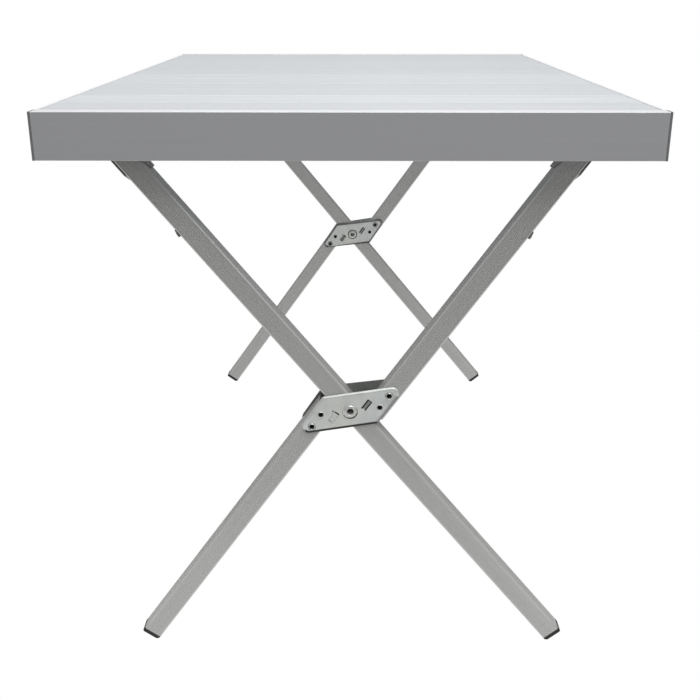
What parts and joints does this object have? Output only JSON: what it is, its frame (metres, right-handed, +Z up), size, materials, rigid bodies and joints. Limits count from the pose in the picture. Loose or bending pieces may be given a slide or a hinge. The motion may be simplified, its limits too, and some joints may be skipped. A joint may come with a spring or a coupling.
{
  "type": "fold-flat picnic table",
  "caption": "Fold-flat aluminium picnic table with a framed slatted top and a scissor leg frame at each end.",
  "frame": {"origin": "on the floor under the middle of the table top", "axes": "+Z up, +Y along the table's length from the near end to the far end, +X across the table to the right as seen from the near end"},
  "size_m": [0.7, 1.026, 0.707],
  "materials": {
    "frame_rails": "satin anodised extrusion",
    "slats": "satin, fine lengthwise ribs",
    "corner_castings": "sand cast, tumbled",
    "leg_tubes": "satin, fine lengthwise flutes",
    "bracket_plates": "zinc plated, mottled",
    "zinc_steel": "zinc plated",
    "foot_caps": "moulded black",
    "slider_barrels": "moulded black"
  },
  "bodies": {
    "table_top": {"side_rail_left": "frame_rails", "side_rail_right": "frame_rails", "end_rail_near": "frame_rails", "end_rail_far": "frame_rails", "corner_casting_near_left": "corner_castings", "corner_casting_near_right": "corner_castings", "corner_casting_far_left": "corner_castings", "corner_casting_far_right": "corner_castings", "slat_01": "slats", "slat_02": "slats", "slat_03": "slats", "slat_04": "slats", "slat_05": "slats", "slat_06": "slats", "slat_07": "slats", "slat_08": "slats", "slat_09": "slats", "slat_10": "slats", "slat_11": "slats", "slat_12": "slats"},
    "near_rod_body": {"near_rod": "zinc_steel"},
    "near_long_slider": {"near_long_barrel": "slider_barrels"},
    "near_long_leg_body": {"near_long_leg": "leg_tubes", "near_long_fitting": "zinc_steel", "near_long_fitting_rivet": "zinc_steel", "near_long_cap": "foot_caps"},
    "near_split_leg_body": {"near_short_leg_upper": "leg_tubes", "near_short_leg_lower": "leg_tubes", "near_bracket_plate_outer": "bracket_plates", "near_bracket_plate_inner": "bracket_plates", "near_bracket_rivet_1": "zinc_steel", "near_bracket_rivet_2": "zinc_steel", "near_bracket_rivet_3": "zinc_steel", "near_bracket_rivet_4": "zinc_steel", "near_pivot_eyelet": "zinc_steel", "near_short_fitting": "zinc_steel", "near_short_fitting_rivet": "zinc_steel", "near_short_cap": "foot_caps"},
    "near_short_slider": {"near_short_barrel": "slider_barrels"},
    "far_rod_body": {"far_rod": "zinc_steel"},
    "far_long_slider": {"far_long_barrel": "slider_barrels"},
    "far_long_leg_body": {"far_long_leg": "leg_tubes", "far_long_fitting": "zinc_steel", "far_long_fitting_rivet": "zinc_steel", "far_long_cap": "foot_caps"},
    "far_split_leg_body": {"far_short_leg_upper": "leg_tubes", "far_short_leg_lower": "leg_tubes", "far_bracket_plate_outer": "bracket_plates", "far_bracket_plate_inner": "bracket_plates", "far_bracket_rivet_1": "zinc_steel", "far_bracket_rivet_2": "zinc_steel", "far_bracket_rivet_3": "zinc_steel", "far_bracket_rivet_4": "zinc_steel", "far_pivot_eyelet": "zinc_steel", "far_short_fitting": "zinc_steel", "far_short_fitting_rivet": "zinc_steel", "far_short_cap": "foot_caps"},
    "far_short_slider": {"far_short_barrel": "slider_barrels"}
  },
  "joints": [
    {"name": "near_fold", "type": "hinge", "parent": "table_top", "child": "near_rod_body", "pos_m": [0, -0.4675, 0.673], "axis": [1, 0, 0], "range_deg": [0, 90]},
    {"name": "near_long_slide", "type": "slide", "parent": "near_rod_body", "child": "near_long_slider", "axis": [1, 0, 0], "range_m": [0, 0.22019]},
    {"name": "near_long_turn", "type": "hinge", "parent": "near_long_slider", "child": "near_long_leg_body", "pos_m": [-0.27357, -0.4675, 0.673], "axis": [0, 1, 0], "range_deg": [0, 39.3]},
    {"name": "near_scissor", "type": "hinge", "parent": "near_long_leg_body", "child": "near_split_leg_body", "pos_m": [0.0006, -0.4675, 0.3404], "axis": [0, -1, 0], "range_deg": [0, 74.75]},
    {"name": "near_short_turn", "type": "hinge", "parent": "near_split_leg_body", "child": "near_short_slider", "pos_m": [0.27623, -0.4675, 0.67565], "axis": [0, 1, 0], "range_deg": [0, 35.5]},
    {"name": "far_fold", "type": "hinge", "parent": "table_top", "child": "far_rod_body", "pos_m": [0, 0.4675, 0.673], "axis": [-1, 0, 0], "range_deg": [0, 90]},
    {"name": "far_long_slide", "type": "slide", "parent": "far_rod_body", "child": "far_long_slider", "axis": [1, 0, 0], "range_m": [0, 0.32419]},
    {"name": "far_long_turn", "type": "hinge", "parent": "far_long_slider", "child": "far_long_leg_body", "pos_m": [-0.27357, 0.4675, 0.673], "axis": [0, 1, 0], "range_deg": [0, 39.3]},
    {"name": "far_scissor", "type": "hinge", "parent": "far_long_leg_body", "child": "far_split_leg_body", "pos_m": [0.0006, 0.4675, 0.3404], "axis": [0, -1, 0], "range_deg": [0, 74.75]},
    {"name": "far_short_turn", "type": "hinge", "parent": "far_split_leg_body", "child": "far_short_slider", "pos_m": [0.27623, 0.4675, 0.67565], "axis": [0, 1, 0], "range_deg": [0, 35.5]}
  ],
  "couplings": [
    {"joint": "near_long_slide", "follows": "near_fold", "m_per_rad": 0.13986},
    {"joint": "near_long_turn", "follows": "near_fold", "ratio": 0.43611},
    {"joint": "near_scissor", "follows": "near_fold", "ratio": 0.83},
    {"joint": "near_short_turn", "follows": "near_fold", "ratio": 0.39389},
    {"joint": "far_long_slide", "follows": "far_fold", "m_per_rad": 0.20607},
    {"joint": "far_long_turn", "follows": "far_fold", "ratio": 0.43611},
    {"joint": "far_scissor", "follows": "far_fold", "ratio": 0.83},
    {"joint": "far_short_turn", "follows": "far_fold", "ratio": 0.39389}
  ]
}
